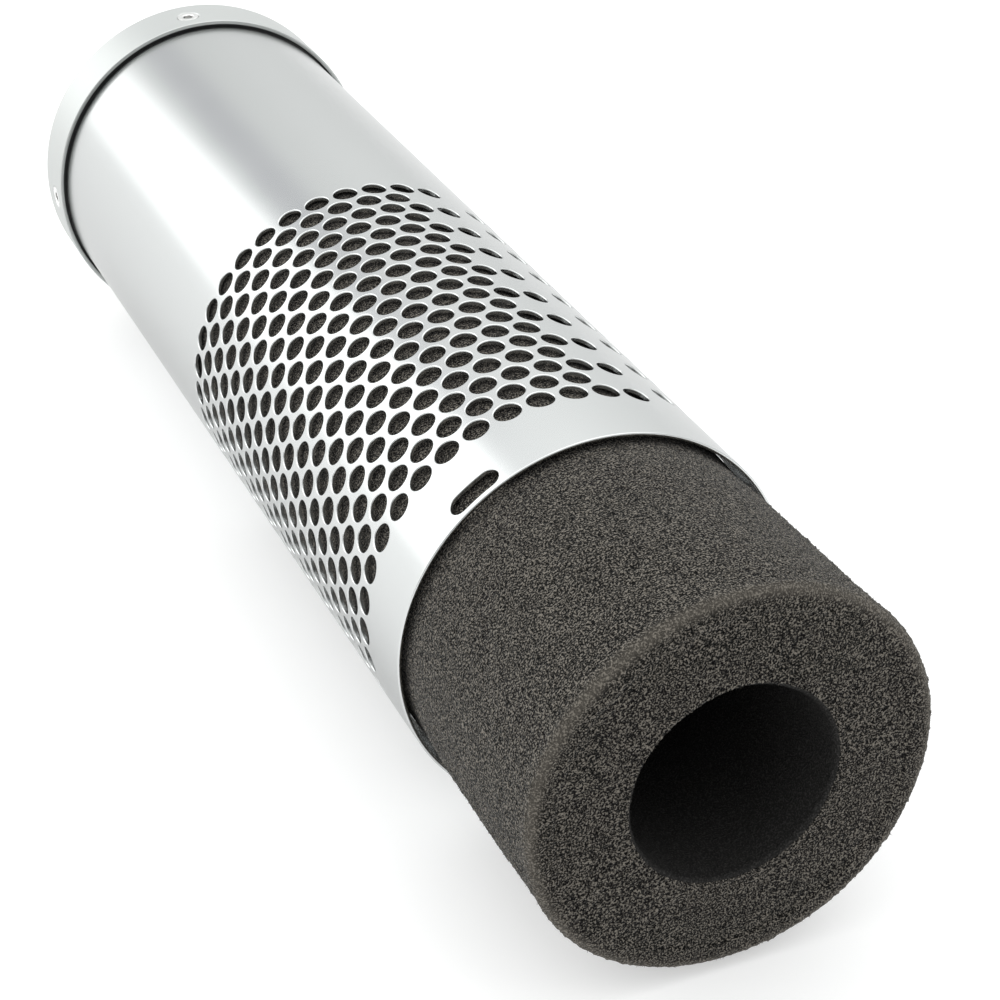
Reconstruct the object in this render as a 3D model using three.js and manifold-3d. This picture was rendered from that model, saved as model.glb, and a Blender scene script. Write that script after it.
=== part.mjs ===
// Pneumatic muffler: a rolled aluminium sleeve, perforated over its open half, with a foam tube
// that slides in from the open end. A turned plug closes the rear end and carries the inlet
// nipple. A clamp ring and four radial screws hold the sleeve on the plug.
//
// Millimetres, +Z up. The tube's axis is the Y axis: the foam faces -Y and the inlet +Y. The
// origin is the centre of the seating face that meets the machine's port.
// Angles around the axis are in degrees from straight up (+Z), positive towards +X.
import * as THREE from 'three';
import { mergeVertices } from 'three/addons/utils/BufferGeometryUtils.js';
import Module from 'manifold-3d';

const wasm = await Module();
wasm.setup();

// ---- driving dimensions ----
const GAP = 0.3; // left between pieces that touch
const SEGMENTS = 72; // sides of a full turn

const SLEEVE_R = 38.1; // outside, a 3 inch tube
const SLEEVE_WALL = 0.8;
const SLEEVE_LENGTH = 238;

const SLOT_LENGTH = 10.6; // around the sleeve
const SLOT_WIDTH = 4.4; // along the sleeve
const SLOT_FROM_MOUTH = 3.4; // mouth to the slot's centre line
const SLOT_ANGLES = [-35.9, 144.1];

const RING_R = 39.65;
const RING_LENGTH = 13.5;
const RING_CHAMFER = 0.5;

const SCREW_ANGLES = [356.6, 86.6, 176.6, 266.6]; // from the top, towards +X
const SCREW_FROM_RING_FRONT = 6;
const SCREW_SHANK_R = 1.5; // M3
const SCREW_HEAD_R = 2.6;
const SCREW_HEAD_HEIGHT = 1.1;
const SCREW_REACH = 6.2; // head face to tip
const SCREW_SOCKET_R = 1.15; // across the corners of the hexagon
const SCREW_SOCKET_DEPTH = 0.9;
const SCREW_CLEARANCE = 0.3; // around the shank

const PLUG_FLANGE = 2; // the flange that the sleeve's rear end butts on
const PLUG_DEPTH = 14.3; // flange included
const PLUG_WEB = 5;
const PLUG_RIM = 5.5; // radial thickness of the rim that the screws bite into
const PLUG_HUB_R = 26;

const SEAL_THICKNESS = 2;
const SEAL_R = 24.6;

const THREAD_R = 21; // 1 1/4 inch pipe thread over its crests
const THREAD_LENGTH = 19; // past the seating face
const THREAD_CHAMFER = 1.5;
const NIPPLE_BORE_R = 17.4;
const HEX_FLATS = 50; // across the flats
const HEX_HEIGHT = 9;
const HEX_CHAMFER = 0.4; // the turned face inside the flats

const FOAM_R = 36.65;
const FOAM_BORE_R = 19.1;
const FOAM_LENGTH = 225;
const FOAM_OUT = 51; // how far the foam stands out of the mouth at rest
const FOAM_EDGE = 1.6; // soft rounding of its edges

// ---- stations along Y, from the seating face forwards ----
const HEX_REAR = -SEAL_THICKNESS - GAP;
const HEX_FRONT = HEX_REAR - HEX_HEIGHT;
const PLUG_REAR = HEX_FRONT - SEAL_THICKNESS - 2 * GAP;
const PLUG_FRONT = PLUG_REAR - PLUG_DEPTH;
const RING_FRONT = PLUG_REAR - RING_LENGTH;
const SLEEVE_REAR = PLUG_REAR - PLUG_FLANGE - GAP;
const MOUTH = SLEEVE_REAR - SLEEVE_LENGTH;
const SLOT_Y = MOUTH + SLOT_FROM_MOUTH;
const SCREW_Y = RING_FRONT + SCREW_FROM_RING_FRONT;
const NIPPLE_FRONT = PLUG_FRONT + 1;
const FOAM_FRONT = MOUTH - FOAM_OUT;

const SLEEVE_BORE_R = SLEEVE_R - SLEEVE_WALL;
const RING_BORE_R = SLEEVE_R + GAP;
const PLUG_SPIGOT_R = SLEEVE_BORE_R - GAP;
const PORT_HOLE_R = THREAD_R + GAP + 0.15; // the plug's and the seals' holes

// ---- solids ----

/** A closed solid from a geometry, ready to cut and join. */
function solid(geometry) {
  const bare = geometry.index ? geometry.toNonIndexed() : geometry.clone();
  bare.deleteAttribute('normal');
  bare.deleteAttribute('uv');
  const merged = mergeVertices(bare, 1e-4);
  return new wasm.Manifold(new wasm.Mesh({
    numProp: 3,
    vertProperties: new Float32Array(merged.attributes.position.array),
    triVerts: new Uint32Array(merged.index.array),
  }));
}

/** The geometry of a solid. */
function geometryOf(body) {
  const mesh = body.getMesh();
  const geometry = new THREE.BufferGeometry();
  geometry.setAttribute('position', new THREE.BufferAttribute(mesh.vertProperties, 3));
  geometry.setIndex(new THREE.BufferAttribute(mesh.triVerts, 1));
  return geometry;
}

/** A ring or disc turned about the Y axis from a closed outline of [radius, y] points. */
function turned(outline, segments = SEGMENTS) {
  const points = [...outline, outline[0]].map(([r, y]) => new THREE.Vector2(r, y));
  return solid(new THREE.LatheGeometry(points, segments));
}

/** The outline of a plain tube between two radii and two stations. */
function tubeOutline(inner, outer, from, to) {
  return [[inner, from], [outer, from], [outer, to], [inner, to]];
}

/** Moves a solid made around the +Z axis so that its +Z points outwards at an angle and a station. */
function placeRadially(geometry, angle, y) {
  geometry.rotateY(THREE.MathUtils.degToRad(angle));
  geometry.translate(0, y, 0);
  return geometry;
}

/** A cylinder or cone standing on the Z axis between two heights. */
function radialCylinder(bottomR, topR, bottom, top, sides = 24) {
  const geometry = new THREE.CylinderGeometry(topR, bottomR, top - bottom, sides);
  geometry.rotateX(Math.PI / 2);
  geometry.translate(0, 0, (bottom + top) / 2);
  return geometry;
}

// ---- sub-parts ----

/** A cutter for one slot: a long hole with round ends, its length around the sleeve. */
function slotCutter(angle) {
  const half = (SLOT_LENGTH - SLOT_WIDTH) / 2;
  const shape = new THREE.Shape();
  shape.absarc(half, 0, SLOT_WIDTH / 2, -Math.PI / 2, Math.PI / 2);
  shape.absarc(-half, 0, SLOT_WIDTH / 2, Math.PI / 2, (3 * Math.PI) / 2);
  const geometry = new THREE.ExtrudeGeometry(shape, { depth: 10, bevelEnabled: false, curveSegments: 8 });
  geometry.translate(0, 0, SLEEVE_R - 5);
  return solid(placeRadially(geometry, angle, SLOT_Y));
}

/** A cutter for the hole that a screw's shank passes through or bites into. */
function screwHole(angle, radius) {
  return solid(placeRadially(radialCylinder(radius, radius, 32, SLEEVE_R + 3), angle, SCREW_Y));
}

function sleeve() {
  let body = turned(tubeOutline(SLEEVE_BORE_R, SLEEVE_R, MOUTH, SLEEVE_REAR));
  for (const angle of SLOT_ANGLES) body = body.subtract(slotCutter(angle));
  for (const angle of SCREW_ANGLES) {
    body = body.subtract(screwHole(angle, SCREW_SHANK_R + SCREW_CLEARANCE));
  }
  return body;
}

function clampRing() {
  let body = turned([
    [RING_BORE_R + RING_CHAMFER, RING_FRONT],
    [RING_R - RING_CHAMFER, RING_FRONT],
    [RING_R, RING_FRONT + RING_CHAMFER],
    [RING_R, PLUG_REAR - RING_CHAMFER],
    [RING_R - RING_CHAMFER, PLUG_REAR],
    [RING_BORE_R, PLUG_REAR],
    [RING_BORE_R, RING_FRONT + RING_CHAMFER],
  ]);
  const seatBottom = RING_R - SCREW_HEAD_HEIGHT - GAP;
  for (const angle of SCREW_ANGLES) {
    const cone = radialCylinder(SCREW_SHANK_R + GAP, SCREW_HEAD_R + GAP, seatBottom, RING_R, 24);
    const mouth = radialCylinder(SCREW_HEAD_R + GAP, SCREW_HEAD_R + GAP, RING_R - 0.05, RING_R + 2, 24);
    body = body.subtract(screwHole(angle, SCREW_SHANK_R + SCREW_CLEARANCE));
    body = body.subtract(solid(placeRadially(cone, angle, SCREW_Y)));
    body = body.subtract(solid(placeRadially(mouth, angle, SCREW_Y)));
  }
  return body;
}

function endPlug() {
  const rimInnerR = PLUG_SPIGOT_R - PLUG_RIM;
  const webFront = PLUG_REAR - PLUG_WEB;
  let body = turned([
    [PORT_HOLE_R, PLUG_FRONT],
    [PLUG_HUB_R, PLUG_FRONT],
    [PLUG_HUB_R, webFront],
    [rimInnerR, webFront],
    [rimInnerR, PLUG_FRONT],
    [PLUG_SPIGOT_R - 0.6, PLUG_FRONT],
    [PLUG_SPIGOT_R, PLUG_FRONT + 0.6],
    [PLUG_SPIGOT_R, SLEEVE_REAR + GAP],
    [SLEEVE_R, SLEEVE_REAR + GAP],
    [SLEEVE_R, PLUG_REAR],
    [PORT_HOLE_R, PLUG_REAR],
  ]);
  for (const angle of SCREW_ANGLES) body = body.subtract(screwHole(angle, SCREW_SHANK_R + GAP));
  return body;
}

/** A countersunk screw with a hexagon socket, its head face outwards at one angle on the ring. */
function ringScrew(angle) {
  const face = RING_R - 0.1;
  const profile = [
    [0, face - SCREW_REACH],
    [SCREW_SHANK_R - 0.4, face - SCREW_REACH],
    [SCREW_SHANK_R, face - SCREW_REACH + 0.4],
    [SCREW_SHANK_R, face - SCREW_HEAD_HEIGHT],
    [SCREW_HEAD_R, face - 0.15],
    [SCREW_HEAD_R, face],
    [0, face],
  ].map(([r, z]) => new THREE.Vector2(r, z));
  const turnedScrew = new THREE.LatheGeometry(profile, 24);
  turnedScrew.rotateX(Math.PI / 2);
  const socketBottom = face - SCREW_SOCKET_DEPTH;
  const socket = radialCylinder(SCREW_SOCKET_R, SCREW_SOCKET_R, socketBottom, face + 1, 6);
  return solid(placeRadially(turnedScrew, angle, SCREW_Y))
    .subtract(solid(placeRadially(socket, angle, SCREW_Y)));
}

/** A hexagon between two stations, the corners of both its faces turned off at 30 degrees. */
function hexagon(from, to) {
  const cornerR = HEX_FLATS / Math.sqrt(3);
  const prism = new THREE.CylinderGeometry(cornerR, cornerR, to - from, 6);
  prism.translate(0, (from + to) / 2, 0);
  const faceR = HEX_FLATS / 2 - HEX_CHAMFER;
  const outerR = cornerR + 1;
  const drop = (outerR - faceR) * Math.tan(Math.PI / 6);
  const envelope = turned([
    [0.01, from],
    [faceR, from],
    [outerR, from + drop],
    [outerR, to - drop],
    [faceR, to],
    [0.01, to],
  ]);
  return solid(prism).intersect(envelope);
}

function inletNipple() {
  const barrel = turned([
    [NIPPLE_BORE_R - 1, NIPPLE_FRONT],
    [THREAD_R - THREAD_CHAMFER, NIPPLE_FRONT],
    [THREAD_R, NIPPLE_FRONT + THREAD_CHAMFER],
    [THREAD_R, THREAD_LENGTH - THREAD_CHAMFER],
    [THREAD_R - THREAD_CHAMFER, THREAD_LENGTH],
    [NIPPLE_BORE_R - 1, THREAD_LENGTH],
  ]);
  const bore = new THREE.CylinderGeometry(NIPPLE_BORE_R, NIPPLE_BORE_R, 80, SEGMENTS);
  return barrel.add(hexagon(HEX_FRONT, HEX_REAR)).subtract(solid(bore));
}

function flatSeal(from) {
  return turned(tubeOutline(PORT_HOLE_R, SEAL_R, from, from + SEAL_THICKNESS));
}

function foamTube() {
  const rear = FOAM_FRONT + FOAM_LENGTH;
  return turned([
    [FOAM_BORE_R + FOAM_EDGE / 2, FOAM_FRONT],
    [FOAM_R - FOAM_EDGE, FOAM_FRONT],
    [FOAM_R - FOAM_EDGE * 0.29, FOAM_FRONT + FOAM_EDGE * 0.29],
    [FOAM_R, FOAM_FRONT + FOAM_EDGE],
    [FOAM_R, rear],
    [FOAM_BORE_R, rear],
    [FOAM_BORE_R, FOAM_FRONT + FOAM_EDGE / 2],
  ]);
}

// ---- materials ----
const brushedAluminium = { color: 0xd3d5d6, roughness: 0.32, metalness: 1 };
const turnedAluminium = { color: 0xc4c9c7, roughness: 0.38, metalness: 1 };
const zincSteel = { color: 0xb9b6ae, roughness: 0.35, metalness: 1 };
const brightSteel = { color: 0xc9c9c9, roughness: 0.25, metalness: 1 };
const sealRubber = { color: 0x1c1c1d, roughness: 0.7, metalness: 0 };
const charcoalFoam = { color: 0x4a4541, roughness: 1, metalness: 0 };

// ---- the object ----
const muffler = new THREE.Group();

function addPart(parent, name, body, look) {
  const mesh = new THREE.Mesh(geometryOf(body), new THREE.MeshStandardMaterial(look));
  mesh.name = name;
  parent.add(mesh);
}

const housing = new THREE.Group();
muffler.add(housing);
addPart(housing, 'perforated_sleeve', sleeve(), brushedAluminium);
addPart(housing, 'clamp_ring', clampRing(), turnedAluminium);
addPart(housing, 'end_plug', endPlug(), turnedAluminium);
SCREW_ANGLES.forEach((angle, i) => {
  addPart(housing, `ring_screw_${i + 1}`, ringScrew(angle), brightSteel);
});
addPart(housing, 'inlet_nipple', inletNipple(), zincSteel);
addPart(housing, 'plug_seal', flatSeal(HEX_FRONT - GAP - SEAL_THICKNESS), sealRubber);
addPart(housing, 'port_seal', flatSeal(-SEAL_THICKNESS), sealRubber);
addPart(muffler, 'foam_element', foamTube(), charcoalFoam);

export default muffler;
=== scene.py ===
"""Looks of the pneumatic muffler: the sleeve, the foam and every fitting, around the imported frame.

Metres, +Z up. The tube's axis is the Y axis and the foam faces -Y. Angles around the axis are in radians
from straight up (+Z), positive towards +X.
"""

import math

import bpy
import numpy as np
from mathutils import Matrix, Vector


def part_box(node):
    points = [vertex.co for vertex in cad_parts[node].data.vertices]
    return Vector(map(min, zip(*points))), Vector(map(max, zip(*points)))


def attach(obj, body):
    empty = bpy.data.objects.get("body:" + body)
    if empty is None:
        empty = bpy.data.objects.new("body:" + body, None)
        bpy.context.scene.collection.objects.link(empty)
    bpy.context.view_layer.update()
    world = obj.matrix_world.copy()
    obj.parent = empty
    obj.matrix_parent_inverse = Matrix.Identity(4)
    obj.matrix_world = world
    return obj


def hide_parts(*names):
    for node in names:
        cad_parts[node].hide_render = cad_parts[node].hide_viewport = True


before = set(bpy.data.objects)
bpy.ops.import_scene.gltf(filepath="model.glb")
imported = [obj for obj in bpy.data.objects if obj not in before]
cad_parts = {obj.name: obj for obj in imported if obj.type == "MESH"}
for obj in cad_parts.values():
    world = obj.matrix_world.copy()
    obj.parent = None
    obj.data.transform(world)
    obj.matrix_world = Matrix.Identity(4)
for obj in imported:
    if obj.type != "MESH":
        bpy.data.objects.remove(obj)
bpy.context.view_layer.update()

MM = 0.001
TAU = 2 * math.pi
SCREWS = ["ring_screw_1", "ring_screw_2", "ring_screw_3", "ring_screw_4"]

# ---- sizes that the frame's boxes don't state ----
WALL = 0.8 * MM
HOLE_R = 2.55 * MM
HOLE_ROUNDING = 0.27 * MM
SLOT_ROUNDING = 0.22 * MM
COLUMNS = 37
ROWS = 19
ROW_SPACING = 5.534 * MM
FIRST_ROW = 17.1 * MM  # from the mouth
FIRST_ANGLE = math.radians(18.8)  # the side of a cell of the first row, with the last hole before the seam
EDGE_PARTS = 4  # steps along one side of a hexagonal cell
END_ROUNDING = 0.3 * MM
EDGE_BREAK = 0.1 * MM  # on the inner edges of the sleeve's and the ring's ends

SLOT_ANGLES = [math.radians(-35.9), math.radians(144.1)]
SLOT_LENGTH = 10.6 * MM
SLOT_WIDTH = 4.4 * MM
SLOT_FROM_MOUTH = 3.4 * MM

SCREW_ANGLES = [k * TAU / 4 - math.radians(3.4) for k in range(4)]
SCREW_REACH = 6.2 * MM
SCREW_HOLE = 3.6 * MM
SCREW_HEAD_R = 2.6 * MM
SCREW_HEAD_HEIGHT = 1.1 * MM
SCREW_SHANK_R = 1.5 * MM
SOCKET_R = 1.3 * MM  # to the corners of its hexagon
SOCKET_DEPTH = 0.9 * MM

FOAM_BORE_R = 19.1 * MM
NIPPLE_BORE_R = 17.4 * MM
THREAD_R = 21 * MM
THREAD_PITCH = 2.309 * MM  # 11 turns to the inch
THREAD_DEPTH = 1.3 * MM
THREAD_CHAMFER = 1.5 * MM
HEX_FLATS = 50 * MM
HEX_HEIGHT = 9 * MM
HEX_CHAMFER = 0.4 * MM  # from the flats in to the edge of the turned face
HEX_REAR = -2.3 * MM  # the port seal and a gap lie between it and the seating face
PORT_R = 21.45 * MM
PLUG_FLANGE = 2 * MM
PLUG_WEB = 5 * MM
PLUG_RIM = 5.5 * MM
PLUG_HUB_R = 26 * MM
SPIGOT_GAP = 0.3 * MM

# ---- the foam's soft shape ----
SWELL = 0.5 * MM  # of its side at the open end
BORE_SWELL = 0.45 * MM
LIP_RIDGE = 0.25 * MM
PINCH = 0.4 * MM  # where the sleeve's mouth presses on it
LEAN = 0.75 * MM  # of the open end towards +X
SAG_SHARE = 0.6  # of the lean, downwards

# ---- stations and radii read from the frame ----
SLEEVE_LOW, SLEEVE_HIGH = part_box("perforated_sleeve")
RING_LOW, RING_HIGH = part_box("clamp_ring")
PLUG_LOW, PLUG_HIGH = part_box("end_plug")
NIPPLE_LOW, NIPPLE_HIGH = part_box("inlet_nipple")
FOAM_LOW, FOAM_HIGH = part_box("foam_element")
SCREW_LOW, SCREW_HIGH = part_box(SCREWS[0])

SLEEVE_R, MOUTH, SLEEVE_REAR = SLEEVE_HIGH.z, SLEEVE_LOW.y, SLEEVE_HIGH.y
RING_R, RING_FRONT, RING_REAR = RING_HIGH.z, RING_LOW.y, RING_HIGH.y
RING_BORE_R = SLEEVE_R + 0.6 * MM
SCREW_Y = (SCREW_LOW.y + SCREW_HIGH.y) / 2
HEAD_FACE = RING_R - 0.1 * MM
FOAM_R, FOAM_FRONT, FOAM_REAR = FOAM_HIGH.z, FOAM_LOW.y, FOAM_HIGH.y


# ---- mesh code ----
def around(angle, y, r):
    """The point at an angle, a station and a radius."""
    return (r * math.sin(angle), y, r * math.cos(angle))


def direction(angle, tangential, axial, radial):
    """A unit vector from its parts along the tangent, the axis and the radius at an angle."""
    s, c = math.sin(angle), math.cos(angle)
    v = (tangential * c + radial * s, axial, -tangential * s + radial * c)
    size = math.sqrt(v[0] ** 2 + v[1] ** 2 + v[2] ** 2) or 1.0
    return (v[0] / size, v[1] / size, v[2] / size)


def piece(name, mesh, material, body="housing", nodes=()):
    """A finished piece: its material, the body it rides on and the CAD nodes it stands for."""
    obj = bpy.data.objects.new(name, mesh)
    bpy.context.scene.collection.objects.link(obj)
    mesh.materials.append(material)
    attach(obj, body)
    if nodes:
        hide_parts(*nodes)
    return obj


class Skin:
    """Faces with a normal at each corner. Corners that coincide share one point."""

    CELLS_PER_METRE = 1e7  # corners in the same cell of this grid coincide
    CELL_SHIFT = 0.37  # keeps round sizes away from the sides of the cells

    def __init__(self):
        self.points = []
        self.index = {}
        self.faces = []
        self.normals = []

    def point(self, p):
        key = tuple(math.floor(c * self.CELLS_PER_METRE + self.CELL_SHIFT) for c in p)
        if key not in self.index:
            self.index[key] = len(self.points)
            self.points.append(p)
        return self.index[key]

    def face(self, corners, normals):
        ids = [self.point(p) for p in corners]
        kept = [i for i in range(len(ids)) if ids[i] != ids[i - 1]]
        if len(kept) < 3:
            return
        self.faces.append([ids[i] for i in kept])
        self.normals.extend(normals[i] for i in kept)

    def ladder(self, rings):
        """Faces between each ring and the next. A ring is (points, normals before it, normals after it)."""
        for (a, _, na), (b, nb, _) in zip(rings, rings[1:]):
            for j in range(len(a)):
                i = j - 1
                self.face([a[i], a[j], b[j], b[i]], [na[i], na[j], nb[j], nb[i]])

    def mesh(self, name, transform=None):
        points, normals = self.points, self.normals
        if transform:
            points = [transform(p) for p in points]
            normals = [transform(n) for n in normals]
        mesh = bpy.data.meshes.new(name)
        mesh.from_pydata(points, [], self.faces)
        mesh.polygons.foreach_set("use_smooth", [True] * len(mesh.polygons))
        mesh.normals_split_custom_set(normals)
        mesh.update()
        return mesh


def circle_ring(r, y, before, after, angles):
    """A ring of a skin at a radius and a station. before and after are (radial, axial) normals."""
    points = [around(a, y, r) for a in angles]
    first = [direction(a, 0, before[1], before[0]) for a in angles]
    second = [direction(a, 0, after[1], after[0]) for a in angles]
    return (points, first, second)


def filleted(corners, steps=4):
    """An outline of (r, y, fillet radius) corners, the solid on its left, with its corners rounded.

    Its points are (r, y, (normal r, normal y))."""
    points = []
    for i in range(len(corners)):
        p = np.array(corners[i][:2])
        before = np.array(corners[i - 1][:2]) - p
        after = np.array(corners[(i + 1) % len(corners)][:2]) - p
        u, v = before / np.linalg.norm(before), after / np.linalg.norm(after)
        half = math.acos(max(-1.0, min(1.0, float(u @ v)))) / 2
        reach = corners[i][2] / math.tan(half)
        reach = min(reach, 0.45 * np.linalg.norm(before), 0.45 * np.linalg.norm(after))
        middle = (u + v) / np.linalg.norm(u + v)
        centre = p + middle * (reach / math.cos(half))
        start, end = p + u * reach - centre, p + v * reach - centre
        turn = math.atan2(start[0] * end[1] - start[1] * end[0], float(start @ end))
        sign = 1 if turn > 0 else -1
        for k in range(steps + 1):
            c, s = math.cos(turn * k / steps), math.sin(turn * k / steps)
            arm = np.array([start[0] * c - start[1] * s, start[0] * s + start[1] * c])
            out = arm / np.linalg.norm(arm) * sign
            points.append((*(centre + arm), out))
    return points


def turned(corners, segments=240):
    """A solid turned about the axis from an outline of corners, the solid on its left."""
    skin = Skin()
    angles = [TAU * k / segments for k in range(segments)]
    outline = filleted(corners)
    skin.ladder([circle_ring(r, y, n, n, angles) for r, y, n in outline + outline[:1]])
    return skin


def pierced(skin, radius, outline, edge, out, levels):
    """One cell of a tube's wall with a hole through it.

    outline and edge are (angle, y) points of the cell and of the hole, counter-clockwise seen from outside.
    out holds the (tangential, axial) directions from the hole into the metal. A level is (offset from the
    edge, depth, tilt before, tilt after). A tilt of 0 faces outwards and a quarter turn faces the hole."""

    def plain_ring(depth, sign):
        points = [around(a, y, radius - depth) for a, y in outline]
        normals = [direction(a, 0, 0, sign) for a, _ in outline]
        return (points, normals, normals)

    def facing(i, angle, tilt):
        s = math.sin(tilt)
        return direction(angle, -out[i][0] * s, -out[i][1] * s, math.cos(tilt))

    rings = [plain_ring(0, 1)]
    for offset, depth, before, after in levels:
        places = [(a + o[0] * offset / radius, y + o[1] * offset) for (a, y), o in zip(edge, out)]
        points = [around(a, y, radius - depth) for a, y in places]
        first = [facing(i, a, before) for i, (a, _) in enumerate(places)]
        second = [facing(i, a, after) for i, (a, _) in enumerate(places)]
        rings.append((points, first, second))
    rings.append(plain_ring(levels[-1][1], -1))
    skin.ladder(rings)


def rounded_levels(rounding, wall, steps=2):
    """The levels of a hole whose outer edge is rounded over."""
    levels = []
    for k in range(steps + 1):
        t = math.pi / 2 * k / steps
        levels.append((rounding * (1 - math.sin(t)), rounding * (1 - math.cos(t)), t, t))
    levels.append((0, wall, math.pi / 2, math.pi))
    return levels


def countersunk_levels(wall):
    """The levels of a screw's seat: a 45 degree cone from the face nearly down to the bore."""
    drop = wall - 0.1 * MM
    edge_width, edge_depth = 0.08 * MM, 0.05 * MM
    return [
        (edge_width, 0, 0, 0),
        (0, edge_depth, TAU / 8, TAU / 8),
        (-drop, drop, TAU / 8, math.pi / 2),
        (-drop, wall, math.pi / 2, math.pi),
    ]


def stadium_edge(x, y, length, width):
    """Where the ray from a slot's centre through (x, y) meets its edge, and the way into the metal."""
    radius, straight = width / 2, (length - width) / 2
    if y and abs(x) * radius <= straight * abs(y):
        t = radius / abs(y)
        return (x * t, y * t), (0.0, math.copysign(1, y))
    centre = math.copysign(straight, x)
    a, b, c = x * x + y * y, -2 * x * centre, centre * centre - radius * radius
    t = (-b + math.sqrt(b * b - 4 * a * c)) / (2 * a)
    return (x * t, y * t), ((x * t - centre) / radius, y * t / radius)


class Wall:
    """The wall of a tube on a grid of angles, with windows left open for its holes."""

    def __init__(self, radius, thickness, start, steps):
        self.skin = Skin()
        self.radius, self.thickness = radius, thickness
        self.start, self.steps = start, steps
        self.step = TAU / steps
        self.angles = [start + k * self.step for k in range(steps)]

    def window(self, angle, reach):
        """The first grid step of a window about an angle, and how many steps it spans."""
        first = math.floor((angle - reach / self.radius - self.start) / self.step)
        last = math.ceil((angle + reach / self.radius - self.start) / self.step)
        return first, last - first

    def band(self, low, high, skipped=()):
        """Plain wall, outside and inside, between two stations or two lists of stations."""
        low = [low] * self.steps if isinstance(low, float) else low
        high = [high] * self.steps if isinstance(high, float) else high
        for depth, sign in ((0, 1), (self.thickness, -1)):
            for k in range(self.steps):
                if k in skipped:
                    continue
                j = (k + 1) % self.steps
                a, b = self.angles[k], self.angles[k] + self.step
                corners = [(a, low[k]), (b, low[j]), (b, high[j]), (a, high[k])][::sign]
                points = [around(x, y, self.radius - depth) for x, y in corners]
                self.skin.face(points, [direction(x, 0, 0, sign) for x, _ in corners])

    def holed_band(self, angles, y, length, width, stations, levels, margin=1.4 * MM):
        """A band with one long or round hole at each of the angles."""
        windows = [self.window(angle, length / 2 + margin) for angle in angles]
        skipped = {(first + k) % self.steps for first, count in windows for k in range(count)}
        for low, high in zip(stations, stations[1:]):
            self.band(low, high, skipped)
        for angle, (first, count) in zip(angles, windows):
            left = self.start + first * self.step
            right = left + count * self.step
            outline = [(left + k * self.step, stations[0]) for k in range(count)]
            outline += [(right, s) for s in stations[:-1]]
            outline += [(right - k * self.step, stations[-1]) for k in range(count)]
            outline += [(left, s) for s in stations[:0:-1]]
            edge, out = [], []
            for a, s in outline:
                (x, dy), away = stadium_edge((a - angle) * self.radius, s - y, length, width)
                edge.append((angle + x / self.radius, y + dy))
                out.append(away)
            pierced(self.skin, self.radius, outline, edge, out, levels)

    def end(self, y, inwards, outer, inner, steps=3):
        """The end face at a station, its outer edge rounded over and its inner edge broken.

        inwards is 1 where the wall goes on towards +Y, and -1 where it goes on towards -Y."""
        rings = []
        for k in range(steps + 1):
            t = math.pi / 2 * k / steps
            c, s = math.cos(t), math.sin(t)
            normal = (c, -inwards * s)
            place = (self.radius - outer * (1 - c), y + inwards * outer * (1 - s))
            rings.append(circle_ring(*place, normal, normal, self.angles))
        bore = self.radius - self.thickness
        flat, lead = (0, -inwards), (-0.7, -0.7 * inwards)
        rings.append(circle_ring(bore + inner, y, flat, lead, self.angles))
        rings.append(circle_ring(bore, y + inwards * outer, lead, (-1, 0), self.angles))
        self.skin.ladder(rings if inwards < 0 else rings[::-1])


# ---- the perforated sleeve ----
def cell_outline():
    """One hexagonal cell, in halves of a column and thirds of a row spacing."""
    corners = [(1, -1), (1, 1), (0, 2), (-1, 1), (-1, -1), (0, -2)]
    steps = []
    for (x0, y0), (x1, y1) in zip(corners, corners[1:] + corners[:1]):
        for k in range(EDGE_PARTS):
            t = k / EDGE_PARTS
            steps.append((x0 + (x1 - x0) * t, y0 + (y1 - y0) * t))
    return steps


def left_out(row, column):
    """Whether a place is without its hole. The sheet's two ends meet there in a plain, stepped seam."""
    return column in (1, 2) if row % 2 == 0 else column in (0, 1)


def plain_cell(skin, angle, y, outline, scales=(0.66, 0.33)):
    """One cell of the wall without a hole, filled inwards from its outline."""
    for depth, sign in ((0, 1), (WALL, -1)):
        around_edge = outline[::sign]
        rings = []
        for scale in (1,) + scales:
            places = [(angle + (a - angle) * scale, y + (b - y) * scale) for a, b in around_edge]
            points = [around(a, b, SLEEVE_R - depth) for a, b in places]
            normals = [direction(a, 0, 0, sign) for a, _ in places]
            rings.append((points, normals, normals))
        count = len(outline)
        middle = [around(angle, y, SLEEVE_R - depth)] * count
        normals = [direction(angle, 0, 0, sign)] * count
        rings.append((middle, normals, normals))
        skin.ladder(rings)


def sleeve_rows(skin):
    """All the round holes. Every other row is shifted by half a column."""
    column_angle = TAU / COLUMNS
    half, third = column_angle / 2, ROW_SPACING / 3
    steps = cell_outline()
    levels = rounded_levels(HOLE_ROUNDING, WALL)
    sizes = [math.hypot(sx * half * SLEEVE_R, sy * third) for sx, sy in steps]
    out = [(sx * half * SLEEVE_R / size, sy * third / size) for (sx, sy), size in zip(steps, sizes)]
    for row in range(ROWS):
        y = MOUTH + FIRST_ROW + row * ROW_SPACING
        for column in range(COLUMNS):
            angle = FIRST_ANGLE + (column + (0.5 if row % 2 == 0 else 0)) * column_angle
            outline = [(angle + sx * half, y + sy * third) for sx, sy in steps]
            if left_out(row, column):
                plain_cell(skin, angle, y, outline)
                continue
            edge = [(angle + ox * HOLE_R / SLEEVE_R, y + oy * HOLE_R) for ox, oy in out]
            pierced(skin, SLEEVE_R, outline, edge, out, levels)


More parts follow.
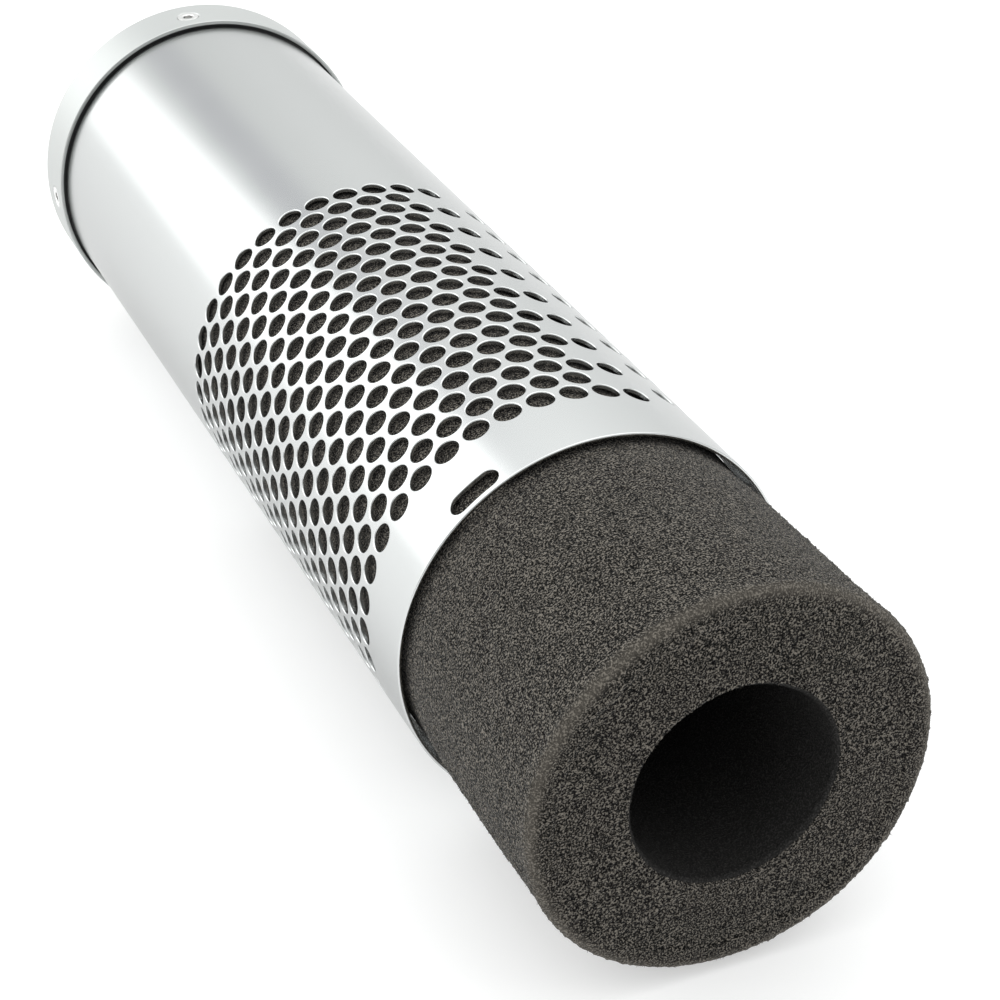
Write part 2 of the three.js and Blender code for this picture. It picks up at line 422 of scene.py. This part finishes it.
def make_sleeve(material):
    wall = Wall(SLEEVE_R, WALL, FIRST_ANGLE, COLUMNS * 2 * EDGE_PARTS)
    sleeve_rows(wall.skin)
    shares = [abs((k % (2 * EDGE_PARTS)) / EDGE_PARTS - 1) for k in range(wall.steps)]
    heights = [ROW_SPACING / 3 * (2 - share) for share in shares]
    first_row = MOUTH + FIRST_ROW
    last_row = first_row + (ROWS - 1) * ROW_SPACING
    plain = 7 * MM  # between a row's centre line and the plain wall's next station
    slot_from, slot_step, screw_step = 0.75, 0.95, 1.0  # mm
    slots = [MOUTH + (slot_from + slot_step * k) * MM for k in range(7)]
    screws = [SCREW_Y + (k - 3) * screw_step * MM for k in range(7)]
    front, rear = MOUTH + END_ROUNDING, SLEEVE_REAR - END_ROUNDING
    levels = rounded_levels(SLOT_ROUNDING, WALL)
    wall.end(MOUTH, 1, END_ROUNDING, EDGE_BREAK)
    wall.band(front, slots[0])
    wall.holed_band(SLOT_ANGLES, MOUTH + SLOT_FROM_MOUTH, SLOT_LENGTH, SLOT_WIDTH, slots, levels)
    wall.band(slots[-1], first_row - plain)
    wall.band(first_row - plain, [first_row - h for h in heights])
    wall.band([last_row + h for h in heights], last_row + plain)
    wall.band(last_row + plain, screws[0])
    wall.holed_band(SCREW_ANGLES, SCREW_Y, SCREW_HOLE, SCREW_HOLE, screws, levels)
    wall.band(screws[-1], rear)
    wall.end(SLEEVE_REAR, -1, END_ROUNDING, EDGE_BREAK)
    mesh = wall.skin.mesh("perforated_tube")
    piece("perforated_tube", mesh, material, nodes=["perforated_sleeve"])


# ---- the clamp ring and its screws ----
def make_ring(material, painted_shade):
    """The ring, with the faces of its bore in a black material, which is painted shade."""
    thickness = RING_R - RING_BORE_R
    front_rounding, rear_rounding = 0.25 * MM, 0.4 * MM
    seat_r = SCREW_HEAD_R + 0.25 * MM
    spacing = 0.95  # mm
    margin = 0.8 * MM
    wall = Wall(RING_R, thickness, 0, 288)
    stations = [SCREW_Y + (k - 4) * spacing * MM for k in range(9)]
    levels = countersunk_levels(thickness)
    wall.end(RING_FRONT, 1, front_rounding, EDGE_BREAK, steps=2)
    wall.band(RING_FRONT + front_rounding, stations[0])
    wall.holed_band(SCREW_ANGLES, SCREW_Y, 2 * seat_r, 2 * seat_r, stations, levels, margin)
    wall.band(stations[-1], RING_REAR - rear_rounding)
    wall.end(RING_REAR, -1, rear_rounding, EDGE_BREAK)
    mesh = wall.skin.mesh("turned_ring")
    piece("turned_ring", mesh, material, nodes=["clamp_ring"])
    mesh.materials.append(painted_shade)
    # Painted shade: the faces of the bore take the black material.
    bore_limit = RING_BORE_R + 0.05 * MM
    for face in mesh.polygons:
        radii = [math.hypot(mesh.vertices[k].co.x, mesh.vertices[k].co.z) for k in face.vertices]
        face.material_index = int(max(radii) < bore_limit)


def make_gap_shade(material):
    """A dark ring of painted shade that fills the gap between sleeve and ring, a little behind the ring's
    face.
    """
    front, rear = RING_FRONT + 0.8 * MM, SCREW_Y - 3 * MM
    bite = 0.02 * MM  # into the sleeve and into the ring
    low, high = SLEEVE_R - bite, RING_BORE_R + bite
    fine = 0.05 * MM
    skin = turned([(low, front, fine), (high, front, fine), (high, rear, fine), (low, rear, fine)])
    piece("gap_shade", skin.mesh("gap_shade"), material)


def socket_ring(angles, y, before, after):
    """A ring of the hexagonal socket. before and after are (radial, axial) normals of its sides."""
    apothem = SOCKET_R * math.cos(TAU / 12)
    points, first, second = [], [], []
    for k, a in enumerate(angles):
        side = (math.floor(k * 6 / len(angles)) + 0.5) * TAU / 6
        points.append(around(a, y, apothem / math.cos(a - side)))
        first.append(direction(side, 0, before[1], before[0]))
        second.append(direction(side, 0, after[1], after[0]))
    return (points, first, second)


def screw_skin():
    """A countersunk screw standing on its own axis, which is local Y, with its face at HEAD_FACE."""
    sides = 24
    angles = [TAU * k / sides for k in range(sides)]
    centre = 1e-9  # a radius for the ring that closes a face
    tip, tip_r, tip_chamfer = HEAD_FACE - SCREW_REACH, 1.1 * MM, 0.4 * MM
    cone_top, rim, socket_floor = HEAD_FACE - 0.2 * MM, HEAD_FACE - 0.1 * MM, HEAD_FACE - SOCKET_DEPTH
    mouth = circle_ring(SOCKET_R + 0.22 * MM, HEAD_FACE, (0, 1), (-0.7, 1), angles)
    skin = Skin()
    skin.ladder([
        circle_ring(centre, tip, (0, -1), (0, -1), angles),
        circle_ring(tip_r, tip, (0, -1), (1, -1), angles),
        circle_ring(SCREW_SHANK_R, tip + tip_chamfer, (1, -1), (1, 0), angles),
        circle_ring(SCREW_SHANK_R, HEAD_FACE - SCREW_HEAD_HEIGHT, (1, 0), (1, -1), angles),
        circle_ring(SCREW_HEAD_R - 0.05 * MM, cone_top, (1, -1), (1, -0.3), angles),
        circle_ring(SCREW_HEAD_R, rim, (1, 0.1), (1, 0.1), angles),
        circle_ring(SCREW_HEAD_R - 0.12 * MM, HEAD_FACE, (0.1, 1), (0, 1), angles),
        mouth,
    ])
    skin.ladder([
        mouth,
        socket_ring(angles, HEAD_FACE - 0.15 * MM, (-0.7, 1), (-1, 0)),
        socket_ring(angles, socket_floor, (-1, 0), (0, 1)),
        circle_ring(centre, socket_floor - 0.3 * MM, (0, 1), (0, 1), angles),
    ])
    return skin


def make_screws(material):
    """Four copies of the screw, each laid along its own radius."""
    skin = screw_skin()
    for name, angle in zip(SCREWS, SCREW_ANGLES):
        s, c = math.sin(angle), math.cos(angle)

        def stand(p, s=s, c=c):
            x, y, z = p[2], p[0], p[1]
            return (x * c + z * s, y, -x * s + z * c)

        mesh = skin.mesh("countersunk_" + name, stand)
        for vertex in mesh.vertices:
            vertex.co.y += SCREW_Y
        piece("countersunk_" + name, mesh, material, nodes=[name])


# ---- the end plug, the nipple and the seals ----
def make_plug(material):
    front, rear = PLUG_LOW.y, PLUG_HIGH.y
    spigot = SLEEVE_R - WALL - SPIGOT_GAP
    inner = spigot - PLUG_RIM
    flange = rear - PLUG_FLANGE
    web = rear - PLUG_WEB
    hollow, lead, edge, fine = 1 * MM, 0.5 * MM, 0.25 * MM, 0.1 * MM
    skin = turned([
        (PORT_R, front, fine), (PLUG_HUB_R, front, edge), (PLUG_HUB_R, web, hollow), (inner, web, hollow),
        (inner, front, edge), (spigot, front, lead), (spigot, flange, fine), (SLEEVE_R, flange, fine),
        (SLEEVE_R, rear, fine), (PORT_R, rear, edge),
    ])
    mesh = skin.mesh("turned_plug")
    piece("turned_plug", mesh, material, nodes=["end_plug"])


def make_seal(name, node, material):
    low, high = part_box(node)
    edge = 0.3 * MM
    rim = high.z
    skin = turned([(PORT_R, low.y, edge), (rim, low.y, edge), (rim, high.y, edge), (PORT_R, high.y, edge)])
    piece(name, skin.mesh(name), material, nodes=[node])


def thread_radius(y, angle, low, high):
    """The radius of a pipe thread with rounded crests and roots, fading into a chamfer at both ends."""
    root, flank = 0.12, 0.76  # shares of half a turn
    turn = (y / THREAD_PITCH - angle / TAU) % 1.0
    rise = abs(2 * turn - 1)
    form = min(1.0, max(0.0, (rise - root) / flank))
    form = form * form * (3 - 2 * form)
    chamfer = max(0.0, THREAD_CHAMFER - (high - y)) + max(0.0, THREAD_CHAMFER - (y - low))
    return min(THREAD_R - THREAD_DEPTH * (1 - form), THREAD_R - chamfer)


def make_thread(skin, low, high, segments=144):
    """The threaded outside between two stations."""
    row_height = 0.17 * MM
    rows = int((high - low) / row_height)
    angles = [TAU * k / segments for k in range(segments)]
    step = 0.02 * MM
    rings = []
    for k in range(rows + 1):
        y = low + (high - low) * k / rows
        points, normals = [], []
        for a in angles:
            r = thread_radius(y, a, low, high)
            rise = thread_radius(y + step, a, low, high) - thread_radius(y - step, a, low, high)
            slope = rise / (2 * step)
            points.append(around(a, y, r))
            normals.append(direction(a, 0, -slope, 1))
        rings.append((points, normals, normals))
    skin.ladder(rings)


def make_hexagon(skin, low, high, inner, segments=144):
    """A hexagon with both faces' corners turned off, and each face reaching in to the radius inner."""
    angles = [TAU * k / segments for k in range(segments)]
    flat, slope = HEX_FLATS / 2, math.tan(TAU / 12)
    face_r = flat - HEX_CHAMFER

    def side(angle):
        return (math.floor(angle / (TAU / 6)) + 0.5) * TAU / 6

    def corner_ring(y, inwards, before, after):
        """before and after are (radial, axial, whether the normal turns with the angle, as on a cone)."""
        points, first, second = [], [], []
        for a in angles:
            r = flat / math.cos(a - side(a))
            points.append(around(a, y + inwards * (r - face_r) * slope, r))
            first.append(direction(a if before[2] else side(a), 0, before[1], before[0]))
            second.append(direction(a if after[2] else side(a), 0, after[1], after[0]))
        return (points, first, second)

    skin.ladder([
        circle_ring(inner, low, (0, -1), (0, -1), angles),
        circle_ring(face_r, low, (0, -1), (0.5, -0.87), angles),
        corner_ring(low, 1, (0.5, -0.87, True), (1, 0, False)),
        corner_ring(high, -1, (1, 0, False), (0.5, 0.87, True)),
        circle_ring(face_r, high, (0.5, 0.87), (0, 1), angles),
        circle_ring(inner, high, (0, 1), (0, 1), angles),
    ])


def make_nipple(material, segments=144):
    """The hollow nipple: a thread, the hexagon and the inlet's thread, around one straight bore."""
    skin = Skin()
    front, rear = NIPPLE_LOW.y, NIPPLE_HIGH.y
    hex_front = HEX_REAR - HEX_HEIGHT
    tip = THREAD_R - THREAD_CHAMFER
    lead = 0.4 * MM
    angles = [TAU * k / segments for k in range(segments)]
    skin.ladder([
        circle_ring(NIPPLE_BORE_R, rear - lead, (-1, 0), (-1, 0), angles),
        circle_ring(NIPPLE_BORE_R, front + lead, (-1, 0), (-0.7, -0.7), angles),
        circle_ring(NIPPLE_BORE_R + lead, front, (-0.7, -0.7), (0, -1), angles),
        circle_ring(tip, front, (0, -1), (0, -1), angles),
    ])
    make_thread(skin, front, hex_front)
    make_hexagon(skin, hex_front, HEX_REAR, tip)
    make_thread(skin, HEX_REAR, rear)
    skin.ladder([
        circle_ring(tip, rear, (0, 1), (0, 1), angles),
        circle_ring(NIPPLE_BORE_R + lead, rear, (0, 1), (-0.7, 0.7), angles),
        circle_ring(NIPPLE_BORE_R, rear - lead, (-0.7, 0.7), (-1, 0), angles),
    ])
    mesh = skin.mesh("threaded_nipple")
    piece("threaded_nipple", mesh, material, nodes=["inlet_nipple"])


# ---- the foam ----
def run(start, end, spacing):
    """Stations from start to end, about that far apart, without the end."""
    count = max(1, round(abs(end - start) / spacing))
    return [start + (end - start) * k / count for k in range(count)]


def foam_outline():
    """The foam's outline, around its bore, its face, its side and its rear.

    Its points are (r, y, normal r, normal y, roughness share). They lie closest at the open end, and far
    apart inside the sleeve."""
    edge, edge_steps = 1.2 * MM, 6
    bore_edge = 0.25 * MM
    inside = MOUTH + 8 * MM
    face = FOAM_FRONT + 0.15 * MM
    near_face = face + 2 * MM
    side_end = MOUTH + 2 * MM
    bore_share, hidden_share, rear_share = 0.7, 0.6, 0.5
    points = [(FOAM_BORE_R, y, -1, 0, bore_share) for y in run(FOAM_REAR, inside, 9 * MM)]
    points += [(FOAM_BORE_R, y, -1, 0, bore_share) for y in run(inside, near_face, 2.2 * MM)]
    points += [(FOAM_BORE_R, y, -1, 0, bore_share) for y in run(near_face, face + 0.2 * MM, 0.45 * MM)]
    points.append((FOAM_BORE_R, face + bore_edge, -1, 0, bore_share))
    points.append((FOAM_BORE_R + bore_edge, face, 0, -1, 1))
    points += [(r, face, 0, -1, 1) for r in run(FOAM_BORE_R + 0.6 * MM, FOAM_R - edge, 0.5 * MM)]
    for k in range(edge_steps + 1):
        t = math.pi / 2 * k / edge_steps
        s, c = math.sin(t), math.cos(t)
        points.append((FOAM_R - edge * (1 - s), face + edge * (1 - c), s, -c, 1))
    points += [(FOAM_R, y, 1, 0, 1) for y in run(FOAM_FRONT + edge + 0.7 * MM, side_end, 0.55 * MM)]
    points += [(FOAM_R, y, 1, 0, hidden_share) for y in run(side_end, FOAM_REAR, 6 * MM)]
    points += [(r, FOAM_REAR, 0, 1, rear_share) for r in run(FOAM_R - 0.4 * MM, FOAM_BORE_R, 5 * MM)]
    return np.array(points)


def waviness(angle, y, rng, count=9):
    """Smooth, slow unevenness between -1 and 1 over the foam's surface."""
    total = np.zeros(np.broadcast(angle, y).shape)
    for _ in range(count):
        turns, along = rng.integers(1, 9), rng.uniform(30, 260)  # waves around, and radians per metre
        total = total + np.sin(turns * angle + along * y + rng.uniform(0, TAU))
    return total / count


def unit(vectors):
    return vectors / (np.linalg.norm(vectors, axis=1)[:, None] + 1e-12)


def strut_stubs(points, shape, share, rng, count=13000):
    """Cut struts that stand out of the foam's open surfaces: thin spikes at random points of its skin."""
    shortest, longest, half_width, sunk = 0.12, 0.55, 0.06, 0.1  # mm
    grid = points.reshape(*shape, 3)
    rows = np.flatnonzero(share[:, 0] > 0.9)
    i, j = rng.choice(rows, count), rng.integers(0, shape[1], count)
    base = grid[i, j]
    along = grid[(i + 1) % shape[0], j] - base
    across = grid[i, (j + 1) % shape[1]] - base
    out = unit(np.cross(across, along))
    heading = unit(out + rng.normal(0, 0.5, (count, 3)))
    side = unit(np.cross(heading, rng.normal(0, 1, (count, 3))))
    length = rng.uniform(shortest, longest, (count, 1)) * MM
    foot = base - heading * sunk * MM
    top = foot + heading * (length + sunk * MM)
    corners = [foot - side * half_width * MM, foot + side * half_width * MM, top]
    faces = np.arange(3 * count).reshape(count, 3)
    return np.stack(corners, 1).reshape(-1, 3), faces


def foam_skin(outline, segments, rng):
    """The foam's points: a row for each point of the outline, and a column for each angle."""
    r, y, nr, ny, share = outline
    shape = (len(r), segments)
    torn, grain, waves = 0.2, 0.05, 0.3  # mm
    inset, lip_length, lip_depth, pinch_length = 0.1 * MM, 2.2 * MM, 4 * MM, 6 * MM
    ragged = rng.uniform(-1, 1, shape) ** 5 * torn * MM + rng.normal(0, grain, shape) * MM
    angles = (np.arange(segments) * TAU / segments)[None, :]
    out = np.clip((MOUTH - y) / (MOUTH - FOAM_FRONT), 0, 1)
    lip = np.exp(-(((y - FOAM_FRONT) / lip_length) ** 2)) * (r > FOAM_R - lip_depth)
    swell = np.where(nr < -0.5, BORE_SWELL, SWELL) * out + LIP_RIDGE * lip
    pinch = PINCH * np.exp(-(((y - MOUTH) / pinch_length) ** 2)) * (nr > 0.5)
    depth = inset - swell - ragged * share - waviness(angles, y, rng) * waves * MM + pinch
    radius = r - nr * depth
    along = y - ny * depth
    turn = angles + rng.uniform(-0.3, 0.3, shape) * share * TAU / segments
    lean = LEAN * out**2
    across, up = radius * np.sin(turn) + lean, radius * np.cos(turn) - lean * SAG_SHARE
    return np.stack([across, along + 0 * turn, up], -1).reshape(-1, 3)


def grid_quads(rows, columns):
    """The faces of a grid of points that closes on itself both ways."""
    i, j = np.meshgrid(np.arange(rows), np.arange(columns), indexing="ij")
    here, there = i * columns, (i + 1) % rows * columns
    next_j = (j + 1) % columns
    return np.stack([here + j, here + next_j, there + next_j, there + j], -1).reshape(-1, 4)


def make_foam(material, bore_shade_material):
    """The foam, with a darker material in the bore as painted shade, and a painted highlight attribute, 1
    at the lip.
    """
    rng = np.random.default_rng(11)
    segments = 440
    outline = [column[:, None] for column in foam_outline().T]
    r, y, nr, _, share = outline
    points = foam_skin(outline, segments, rng)
    quads = grid_quads(len(r), segments)
    stub_points, stub_faces = strut_stubs(points, (len(r), segments), share, rng)
    faces = quads.tolist() + (stub_faces + len(points)).tolist()
    mesh = bpy.data.meshes.new("porous_foam")
    mesh.from_pydata(points.tolist() + stub_points.tolist(), [], faces)
    mesh.polygons.foreach_set("use_smooth", [True] * len(mesh.polygons))
    mesh.update()
    obj = piece("porous_foam", mesh, material, "foam", ["foam_element"])
    # The bore's faces take the darker copy of the foam, which is painted shade.
    mesh.materials.append(bore_shade_material)
    in_bore = np.zeros(len(faces), int)
    in_bore[:len(quads)] = np.repeat((nr < -0.5).astype(int), segments)
    mesh.polygons.foreach_set("material_index", in_bore.tolist())
    # A painted highlight along the lip of the foam's face, fading over about a millimetre; the strut stubs
    # get 0.3 of it.
    lip_highlight = mesh.attributes.new("lip_highlight", "FLOAT", "POINT")
    lip_highlight_width, stub_highlight = 1.05 * MM, 0.3
    near = np.hypot(y - FOAM_FRONT, r - FOAM_R) / lip_highlight_width
    values = np.concatenate([np.repeat(np.exp(-near**2), segments), np.full(len(stub_points), stub_highlight)])
    lip_highlight.data.foreach_set("value", values.astype(np.float32))


# ---- materials ----
def new_material(name):
    material = bpy.data.materials.new(name)
    material.use_nodes = True
    tree = material.node_tree
    tree.nodes.clear()
    output = tree.nodes.new("ShaderNodeOutputMaterial")
    shader = tree.nodes.new("ShaderNodeBsdfPrincipled")
    tree.links.new(shader.outputs[0], output.inputs["Surface"])
    return material, tree, shader


def add(tree, kind, **settings):
    """A node with its inputs and properties set. An input is set by value, or linked from a socket."""
    node = tree.nodes.new(kind)
    for key, value in settings.items():
        if hasattr(node, key):
            setattr(node, key, value)
            continue
        socket = node.inputs[int(key[1:])] if key[0] == "i" and key[1:].isdigit() else node.inputs[key]
        link_or_set(tree, socket, value)
    return node


def link_or_set(tree, socket, value):
    if isinstance(value, bpy.types.NodeSocket):
        tree.links.new(value, socket)
    else:
        socket.default_value = value


def stretched(tree, scale):
    """Object coordinates, scaled differently along each axis."""
    coords = add(tree, "ShaderNodeTexCoord")
    return add(tree, "ShaderNodeMapping", Vector=coords.outputs["Object"], Scale=scale).outputs[0]


def noise(tree, vector, scale, detail=3.0, rough=0.55):
    settings = {"Vector": vector, "Scale": scale, "Detail": detail, "Roughness": rough}
    return add(tree, "ShaderNodeTexNoise", **settings).outputs[0]


def ranged(tree, value, low, high, start=0.0, end=1.0):
    """A value between start and end mapped to between low and high."""
    settings = {"Value": value, "From Min": start, "From Max": end, "To Min": low, "To Max": high}
    return add(tree, "ShaderNodeMapRange", **settings).outputs[0]


def smooth_step(tree, value, start, end):
    settings = {"interpolation_type": "SMOOTHSTEP", "Value": value, "From Min": start, "From Max": end}
    return add(tree, "ShaderNodeMapRange", **settings).outputs[0]


def product(tree, *values):
    total = values[0]
    for value in values[1:]:
        total = add(tree, "ShaderNodeMath", operation="MULTIPLY", i0=total, i1=value).outputs[0]
    return total


def scaled(tree, value, factor, offset):
    """A value times a factor, plus an offset."""
    return add(tree, "ShaderNodeMath", operation="MULTIPLY_ADD", i0=value, i1=factor, i2=offset).outputs[0]


def less(tree, value, share=1.0):
    """One, less a share of a value."""
    return scaled(tree, value, -share, 1.0)


def more(tree, value, share):
    """One, and a share of a value."""
    return scaled(tree, value, share, 1.0)


def axis_distance(tree):
    """The distance from the tube's axis, and the station along it."""
    coords = add(tree, "ShaderNodeTexCoord")
    split = add(tree, "ShaderNodeSeparateXYZ", Vector=coords.outputs["Object"])
    x, z = split.outputs["X"], split.outputs["Z"]
    squares = scaled(tree, z, z, product(tree, x, x))
    return add(tree, "ShaderNodeMath", operation="SQRT", i0=squares).outputs[0], split.outputs["Y"]


def rolled_aluminium():
    """Mill-rolled sheet: satin, with faint drawing lines along the tube and slow changes of gloss."""
    material, tree, shader = new_material("rolled_aluminium")
    lines = noise(tree, stretched(tree, (1400, 30, 1400)), scale=1.0, detail=4.0, rough=0.6)
    cloud = noise(tree, stretched(tree, (1, 1, 1)), scale=40)
    shader.inputs["Metallic"].default_value = 1.0
    shader.inputs["Base Color"].default_value = (0.622, 0.633, 0.631, 1)
    shader.inputs["Specular Tint"].default_value = (0.7, 0.7, 0.7, 1)
    tree.links.new(ranged(tree, cloud, 0.2, 0.25), shader.inputs["Roughness"])
    bump = add(tree, "ShaderNodeBump", Strength=0.05, Distance=0.02 * MM, Height=lines)
    tree.links.new(bump.outputs[0], shader.inputs["Normal"])
    return material


def turned_aluminium():
    """Aluminium off the lathe: fine rings around the axis."""
    material, tree, shader = new_material("lathe_aluminium")
    radius, along = axis_distance(tree)
    vector = add(tree, "ShaderNodeCombineXYZ", X=radius, Y=along, Z=0.0)
    rings = noise(tree, vector.outputs[0], scale=2400, rough=0.6)
    cloud = noise(tree, stretched(tree, (1, 1, 1)), scale=60, detail=2.0)
    shader.inputs["Metallic"].default_value = 1.0
    shader.inputs["Base Color"].default_value = (0.58, 0.593, 0.585, 1)
    shader.inputs["Specular Tint"].default_value = (0.8, 0.8, 0.8, 1)
    tree.links.new(ranged(tree, cloud, 0.4, 0.48), shader.inputs["Roughness"])
    bump = add(tree, "ShaderNodeBump", Strength=0.4, Distance=0.03 * MM, Height=rings)
    tree.links.new(bump.outputs[0], shader.inputs["Normal"])
    return material


def plated_steel(name, colour, smoothest, roughest):
    """Steel of one colour whose roughness drifts between two values."""
    material, tree, shader = new_material(name)
    cloud = noise(tree, stretched(tree, (1, 1, 1)), scale=300)
    shader.inputs["Metallic"].default_value = 1.0
    shader.inputs["Base Color"].default_value = (*colour, 1)
    tree.links.new(ranged(tree, cloud, smoothest, roughest), shader.inputs["Roughness"])
    bump = add(tree, "ShaderNodeBump", Strength=0.1, Distance=0.02 * MM, Height=cloud)
    tree.links.new(bump.outputs[0], shader.inputs["Normal"])
    return material


def black_rubber():
    material, tree, shader = new_material("black_rubber")
    grain = noise(tree, stretched(tree, (1, 1, 1)), scale=1500)
    shader.inputs["Base Color"].default_value = (0.012, 0.012, 0.013, 1)
    shader.inputs["Roughness"].default_value = 0.65
    bump = add(tree, "ShaderNodeBump", Strength=0.3, Distance=0.1 * MM, Height=grain)
    tree.links.new(bump.outputs[0], shader.inputs["Normal"])
    return material


def foam_relief(tree):
    """The relief of the foam's struts around pores about 0.5 mm across, and its slow changes of shade."""
    strut_width, strut_gain, fine_gain, offset = 0.26, 0.34, 0.95, -0.18
    vector = stretched(tree, (1, 1, 1))
    pores = add(tree, "ShaderNodeTexVoronoi", feature="DISTANCE_TO_EDGE", Vector=vector, Scale=2100.0)
    grain = noise(tree, vector, scale=3200, detail=0.0, rough=0.5)
    fine = ranged(tree, grain, low=-0.22, high=1.2, start=0.24, end=0.76)
    struts = less(tree, smooth_step(tree, pores.outputs["Distance"], 0.0, strut_width))
    height = scaled(tree, fine, fine_gain, scaled(tree, struts, strut_gain, offset))
    clumps = ranged(tree, noise(tree, vector, scale=240), low=0.98, high=1.02, start=0.3, end=0.7)
    return height, clumps


def open_cell_foam(name, dark, light, sheen):
    """Foam of fine struts around open pores, brighter on the struts and with a painted highlight at the
    lip.
    """
    material, tree, shader = new_material(name)
    contrast, highlight_gain, highlight_share = 2.4, 1.1, 0.5
    height, clumps = foam_relief(tree)
    level = ranged(tree, product(tree, height, clumps), 0.0, 1.0)
    shade = add(tree, "ShaderNodeMath", operation="POWER", i0=level, i1=contrast).outputs[0]
    tint = add(tree, "ShaderNodeMixRGB", Fac=shade, Color1=(*dark, 1), Color2=(*light, 1))
    # The lip's lighter colour is a painted highlight, read from the point attribute set on the foam's mesh.
    lip_highlight = add(tree, "ShaderNodeAttribute", attribute_name="lip_highlight")
    lift = product(tree, lip_highlight.outputs["Fac"], highlight_share)
    highlight_colour = tuple(highlight_gain * part for part in light)
    lit = add(tree, "ShaderNodeMixRGB", Fac=lift, Color1=tint.outputs[0], Color2=(*highlight_colour, 1))
    tree.links.new(lit.outputs[0], shader.inputs["Base Color"])
    shader.inputs["Roughness"].default_value = 0.9
    shader.inputs["Specular IOR Level"].default_value = 0.05
    shader.inputs["Sheen Weight"].default_value = sheen
    shader.inputs["Sheen Roughness"].default_value = 0.4
    bump = add(tree, "ShaderNodeBump", Strength=0.6, Distance=0.3 * MM, Height=height)
    tree.links.new(bump.outputs[0], shader.inputs["Normal"])
    return material


def pale_floor():
    """A matt floor that gives off light of its own, so that shadows on it stay faint."""
    material, _, shader = new_material("pale_floor")
    shader.inputs["Base Color"].default_value = (0.62, 0.62, 0.62, 1)
    shader.inputs["Emission Color"].default_value = (1, 1, 1, 1)
    shader.inputs["Emission Strength"].default_value = 0.44
    shader.inputs["Roughness"].default_value = 0.9
    shader.inputs["Specular IOR Level"].default_value = 0.1
    return material


# ---- the surroundings ----
def make_floor():
    """The floor, just under the ring, which is the lowest part of the object."""
    reach = 30.0
    z = RING_LOW.z - 0.05 * MM
    mesh = bpy.data.meshes.new("floor")
    corners = [(-reach, -reach, z), (reach, -reach, z), (reach, reach, z), (-reach, reach, z)]
    mesh.from_pydata(corners, [], [(0, 1, 2, 3)])
    mesh.materials.append(pale_floor())
    floor = bpy.data.objects.new("floor", mesh)
    bpy.context.scene.collection.objects.link(floor)


def between(tree, value, start, end, soft):
    """1 between two values and 0 outside them, with soft edges."""
    rise = smooth_step(tree, value, start - soft, start + soft)
    return product(tree, rise, less(tree, smooth_step(tree, value, end - soft, end + soft)))


def make_world():
    """A white tent: a window of bright cloth behind on the left, a shaded gap beside it, dimmer in front.

    Azimuths are in radians from +Y towards +X. z runs from 0 at the horizon to 1 overhead."""
    world = bpy.data.worlds.new("studio")
    bpy.context.scene.world = world
    world.use_nodes = True
    tree = world.node_tree
    coords = add(tree, "ShaderNodeTexCoord")
    split = add(tree, "ShaderNodeSeparateXYZ", Vector=coords.outputs["Generated"])
    x, y, z = split.outputs["X"], split.outputs["Y"], split.outputs["Z"]
    azimuth = add(tree, "ShaderNodeMath", operation="ARCTAN2", i0=x, i1=y).outputs[0]
    window_width = between(tree, azimuth, start=-1.3, end=-0.255, soft=0.04)
    window_height = between(tree, z, start=0.045, end=0.75, soft=0.055)
    window = product(tree, window_width, window_height)
    gap_width = between(tree, azimuth, start=-0.2, end=0.06, soft=0.1)
    under_top = less(tree, smooth_step(tree, z, 0.48, 0.6))
    over_foot = smooth_step(tree, z, 0.34, 0.46)
    gap = product(tree, gap_width, under_top, over_foot)
    front = smooth_step(tree, y, 0.3, -0.6)
    right = smooth_step(tree, azimuth, 0.1, 0.5)
    top = smooth_step(tree, z, 0.5, 0.8)
    dimming = product(tree, less(tree, gap, 0.36), less(tree, front, 0.4))
    base = product(tree, dimming, more(tree, top, 0.85), more(tree, right, 0.2))
    window_gain = 1.2
    total = scaled(tree, window, window_gain, base)
    cloth, shadow = (0.975, 0.99, 0.985, 1), (0.955, 0.965, 1.02, 1)
    tint = add(tree, "ShaderNodeMixRGB", Fac=gap, Color1=cloth, Color2=shadow)
    background = tree.nodes["Background"]
    tree.links.new(tint.outputs[0], background.inputs["Color"])
    tree.links.new(total, background.inputs["Strength"])


def make_camera():
    """The photo's viewpoint, from a fit to the centres of the sleeve's holes."""
    data = bpy.data.cameras.new("camera")
    data.lens = 85.83
    data.sensor_width = 36
    camera = bpy.data.objects.new("camera", data)
    camera.location = (-0.1572, -0.5746, 0.2349)
    aim = Vector((-0.0052, -0.2227, 0.0099)) - camera.location
    camera.rotation_euler = aim.to_track_quat("-Z", "Y").to_euler()
    bpy.context.scene.collection.objects.link(camera)
    bpy.context.scene.camera = camera


def build():
    turned_metal = turned_aluminium()
    rubber = black_rubber()
    make_sleeve(rolled_aluminium())
    make_ring(turned_metal, rubber)
    # Painted shade in the gap between sleeve and ring.
    make_gap_shade(rubber)
    make_screws(plated_steel("bright_steel", (0.72, 0.72, 0.71), smoothest=0.22, roughest=0.3))
    make_plug(turned_metal)
    make_nipple(plated_steel("zinc_steel", (0.62, 0.6, 0.56), smoothest=0.3, roughest=0.42))
    make_seal("inner_washer", "plug_seal", rubber)
    make_seal("outer_washer", "port_seal", rubber)
    pore, strut = (0.001, 0.0009, 0.0008), (0.185, 0.167, 0.143)
    # The bore's copy of the foam, darker and without sheen, is painted shade.
    shaded_pore, shaded_strut = (0.02, 0.0195, 0.019), (0.045, 0.0435, 0.042)
    open_foam = open_cell_foam("open_cell_foam", pore, strut, sheen=0.13)
    bore_shade_foam = open_cell_foam("open_cell_foam_in_shade", shaded_pore, shaded_strut, sheen=0.0)
    make_foam(open_foam, bore_shade_foam)


build()
make_floor()
make_world()
make_camera()
bpy.context.scene.view_settings.view_transform = "Standard"
